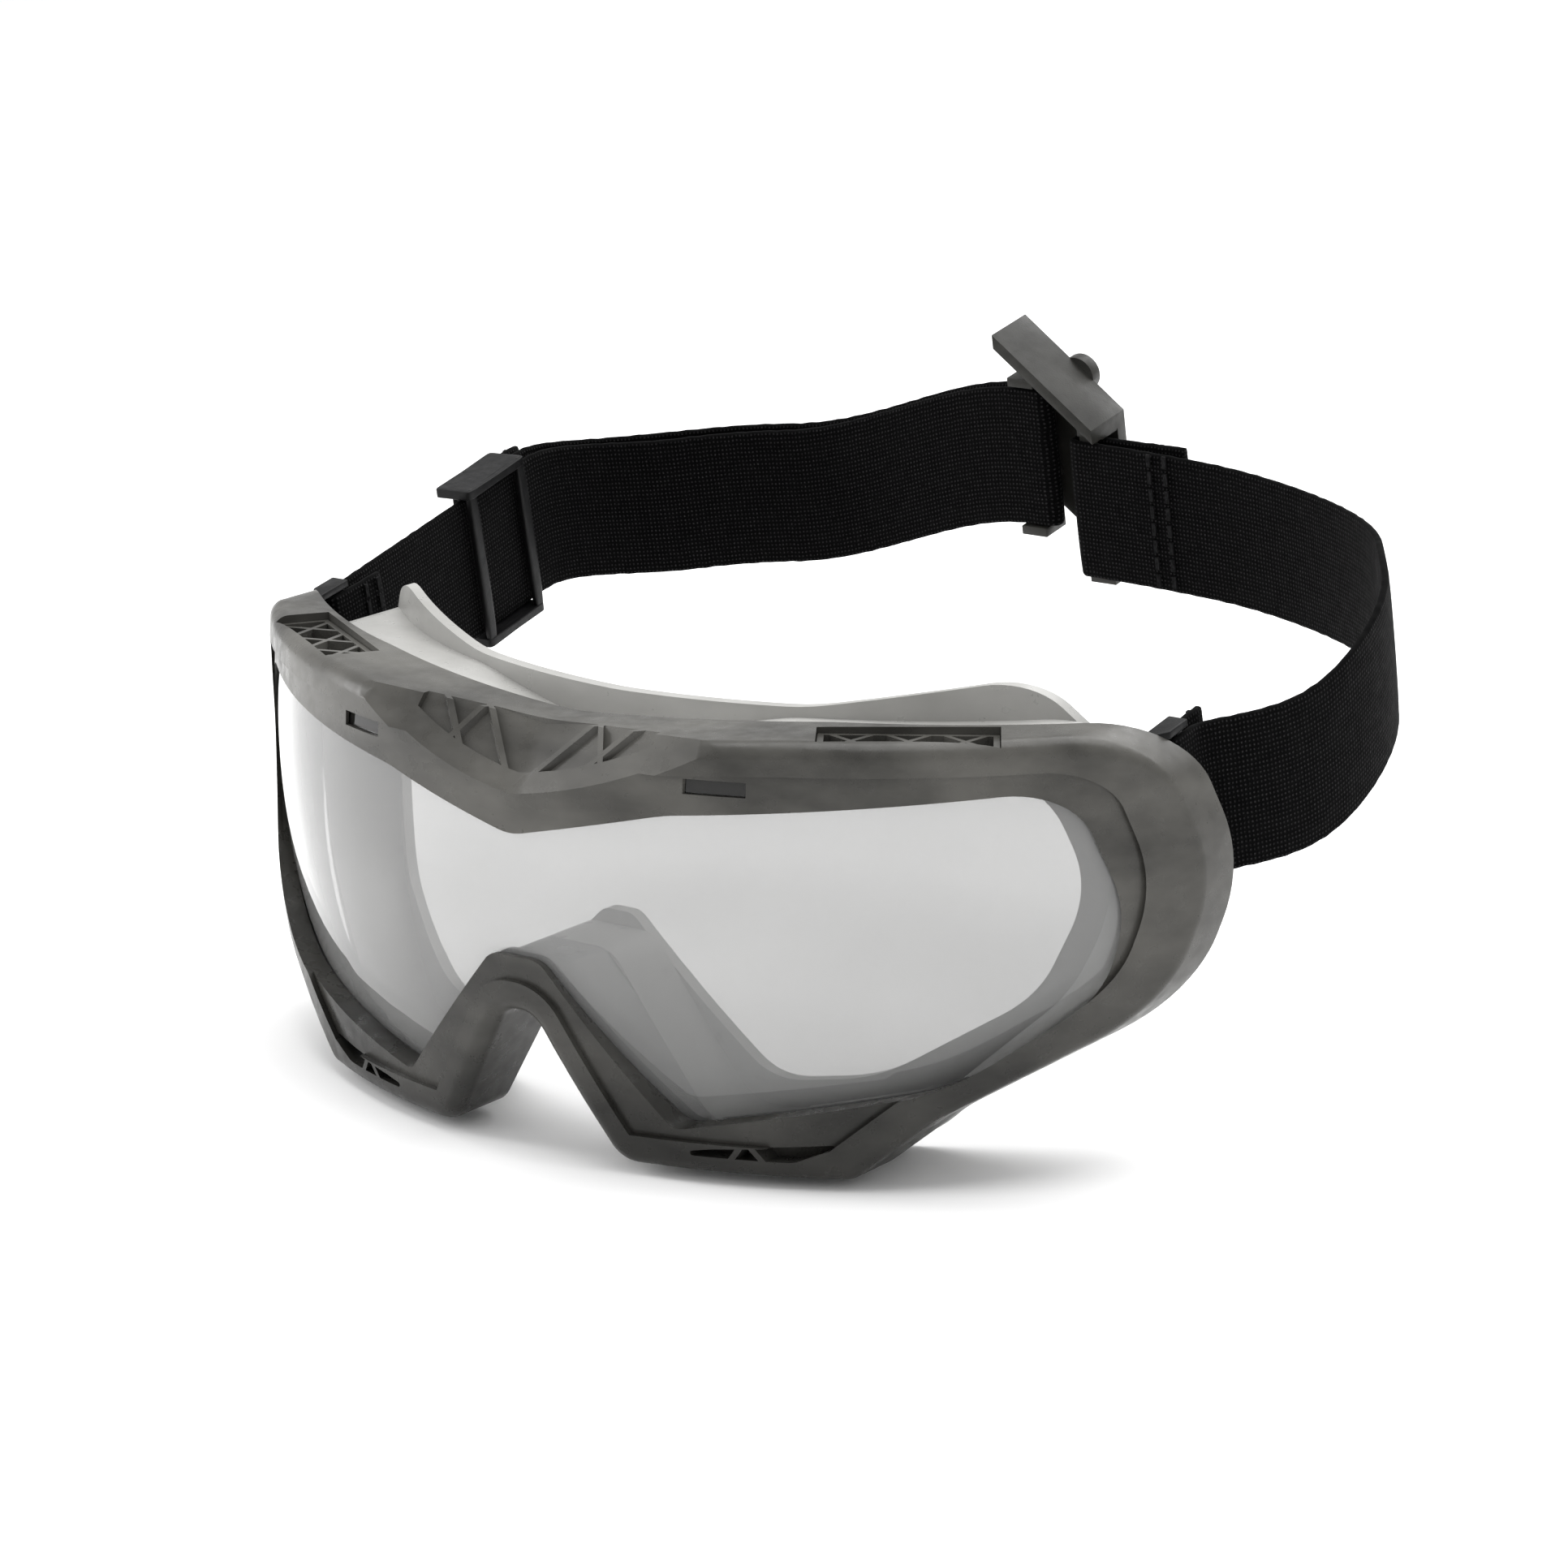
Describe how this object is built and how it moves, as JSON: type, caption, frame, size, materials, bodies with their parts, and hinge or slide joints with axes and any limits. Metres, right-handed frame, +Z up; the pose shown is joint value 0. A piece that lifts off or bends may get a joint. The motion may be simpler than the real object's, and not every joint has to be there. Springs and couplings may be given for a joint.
{
  "type": "safety goggles",
  "caption": "Wraparound safety goggles with a curved clear lens in a soft vented frame, a face seal and an elastic head strap with a slide adjuster and rear clip.",
  "frame": {"origin": "middle of the face seal's back, level with the bridge of the nose", "axes": "+X to the right as seen from in front of the lens, +Y back towards the wearer's face, +Z up"},
  "size_m": [0.1792, 0.1594, 0.1016],
  "materials": {
    "frame": "soft translucent smoke",
    "lens": "clear, polished",
    "seal": "soft translucent smoke",
    "strap": "woven elastic",
    "thread": "twisted thread",
    "black_plastic": "satin",
    "clip": "smoke, satin"
  },
  "bodies": {
    "goggles": {"frame": "frame", "lens": "lens", "face_seal": "seal", "right_top_vent_grille": "frame", "left_top_vent_grille": "frame", "right_lower_vent_baffle": "frame", "left_lower_vent_baffle": "frame", "right_strap_lug": "black_plastic", "left_strap_lug": "black_plastic", "right_strap": "strap", "left_strap": "strap", "left_strap_return": "strap", "rear_clip_plate": "clip", "right_clip_stitching": "thread", "right_lug_stitching": "thread", "left_lug_stitching": "thread"},
    "strap_adjuster": {"strap_adjuster": "black_plastic", "left_strap_sewn_end": "strap", "adjuster_stitching": "thread"},
    "rear_clip_hook": {"rear_clip_hook": "clip", "left_strap_clip_end": "strap"}
  },
  "joints": [
    {"name": "adjuster_slide", "type": "slide", "parent": "goggles", "child": "strap_adjuster", "axis": [0.0872, -0.9765, -0.1969], "range_m": [0, 0.025]},
    {"name": "rear_clip_release", "type": "slide", "parent": "goggles", "child": "rear_clip_hook", "axis": [0, -0.9803, -0.1977], "range_m": [0, 0.008]}
  ]
}
